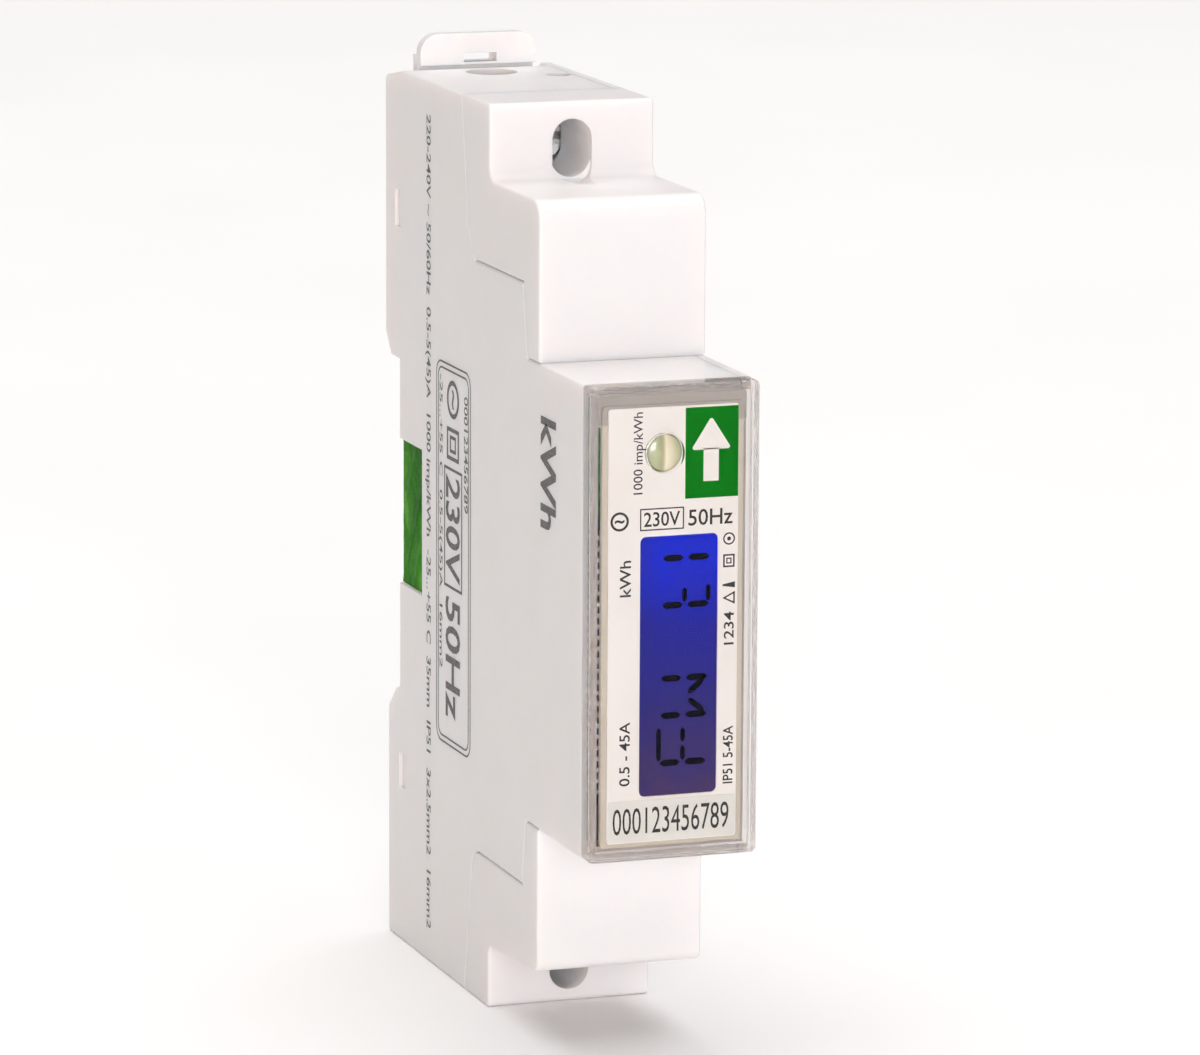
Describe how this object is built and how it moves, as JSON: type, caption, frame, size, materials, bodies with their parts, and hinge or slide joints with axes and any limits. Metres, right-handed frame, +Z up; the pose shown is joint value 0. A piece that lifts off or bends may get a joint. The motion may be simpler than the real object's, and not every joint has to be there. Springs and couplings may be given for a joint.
{
  "type": "rail-mounted electricity meter",
  "caption": "Slim rail-mounted electricity meter with a blue display behind a clear front, a push key, covered screw terminals at both ends and a sliding rail latch.",
  "frame": {"origin": "on the rail seat, at the rail's centre line and the middle of the module width", "axes": "+X to the right seen from the front, +Y back through the rail, +Z up; the front faces -Y"},
  "size_m": [0.0176, 0.0665, 0.0971],
  "materials": {
    "housing_plastic": "fine moulded texture",
    "clear_acrylic": "polished",
    "printed_label": "satin printed film",
    "serial_sticker": "satin paper film",
    "bezel_plastic": "matt",
    "lcd_panel": "polished, lit blue",
    "light_guide": "translucent",
    "key_plastic": "translucent, polished",
    "latch_nylon": "natural nylon",
    "seal_foil": "wrinkled glossy foil",
    "plated_steel": "zinc plated",
    "spring_steel": "bright drawn",
    "tinned_copper": "bare copper bar",
    "manganin": "satin resistance alloy",
    "circuit_board": "green solder mask",
    "chip_epoxy": "moulded epoxy",
    "black_plastic": "moulded",
    "led_lens": "clear epoxy",
    "white_nylon": "moulded",
    "capacitor_box": "box shell",
    "varistor_blue": "dipped epoxy",
    "can_sleeve": "shrink sleeve",
    "crystal_can": "drawn nickel can",
    "ferrite": "ground ferrite",
    "winding_tape": "taped winding",
    "resistor_green": "cement coat"
  },
  "bodies": {
    "meter": {"main_housing": "housing_plastic", "right_side_cover": "housing_plastic", "top_terminal_cover": "housing_plastic", "bottom_terminal_cover": "housing_plastic", "clear_window": "clear_acrylic", "faceplate": "printed_label", "serial_label": "serial_sticker", "display_bezel": "bezel_plastic", "lcd_glass": "lcd_panel", "lcd_light_guide": "light_guide", "lcd_pins": "plated_steel", "backlight_leds": "led_lens", "pulse_led": "led_lens", "key_board": "circuit_board", "display_board": "circuit_board", "main_board": "circuit_board", "display_connector": "black_plastic", "board_link": "white_nylon", "board_header": "black_plastic", "tact_switch": "black_plastic", "top_busbar": "tinned_copper", "bottom_busbar": "tinned_copper", "shunt": "manganin", "neutral_clamp": "spring_steel", "data_clamps": "spring_steel", "latch_spring": "spring_steel", "tamper_seal": "seal_foil", "metering_chip": "chip_epoxy", "microcontroller": "chip_epoxy", "bus_transceiver": "chip_epoxy", "bridge_rectifier": "chip_epoxy", "optocouplers": "black_plastic", "crystal": "crystal_can", "dropper_capacitor": "capacitor_box", "varistor": "varistor_blue", "storage_capacitor": "can_sleeve", "transformer_core": "ferrite", "transformer_winding": "winding_tape", "fuse_resistor": "resistor_green"},
    "latch": {"din_latch": "latch_nylon"},
    "top_screw": {"top_terminal_screw": "plated_steel"},
    "top_cage": {"top_clamp_cage": "plated_steel"},
    "bottom_screw": {"bottom_terminal_screw": "plated_steel"},
    "bottom_cage": {"bottom_clamp_cage": "plated_steel"},
    "key": {"scroll_button": "key_plastic"}
  },
  "joints": [
    {"name": "latch_slide", "type": "slide", "parent": "meter", "child": "latch", "axis": [0, 0, 1], "range_m": [0, 0.0035], "stiffness_N_per_m": 1500, "springref_m": -0.002, "deforming": ["latch_spring"]},
    {"name": "top_screw_turn", "type": "hinge", "parent": "meter", "child": "top_screw", "pos_m": [0, -0.0193, 0.04365], "axis": [0, 1, 0], "range_deg": [0, 1825]},
    {"name": "top_cage_rise", "type": "slide", "parent": "meter", "child": "top_cage", "axis": [0, -1, 0], "range_m": [0, 0.00405]},
    {"name": "bottom_screw_turn", "type": "hinge", "parent": "meter", "child": "bottom_screw", "pos_m": [0, -0.0193, -0.0408], "axis": [0, 1, 0], "range_deg": [0, 1825]},
    {"name": "bottom_cage_rise", "type": "slide", "parent": "meter", "child": "bottom_cage", "axis": [0, -1, 0], "range_m": [0, 0.00405]},
    {"name": "key_press", "type": "slide", "parent": "meter", "child": "key", "axis": [0, 1, 0], "range_m": [0, 0.00025], "stiffness_N_per_m": 2000, "springref_m": -0.0001}
  ],
  "couplings": [
    {"joint": "top_screw_turn", "follows": "top_cage_rise", "rad_per_m": 7854},
    {"joint": "bottom_screw_turn", "follows": "bottom_cage_rise", "rad_per_m": 7854}
  ]
}
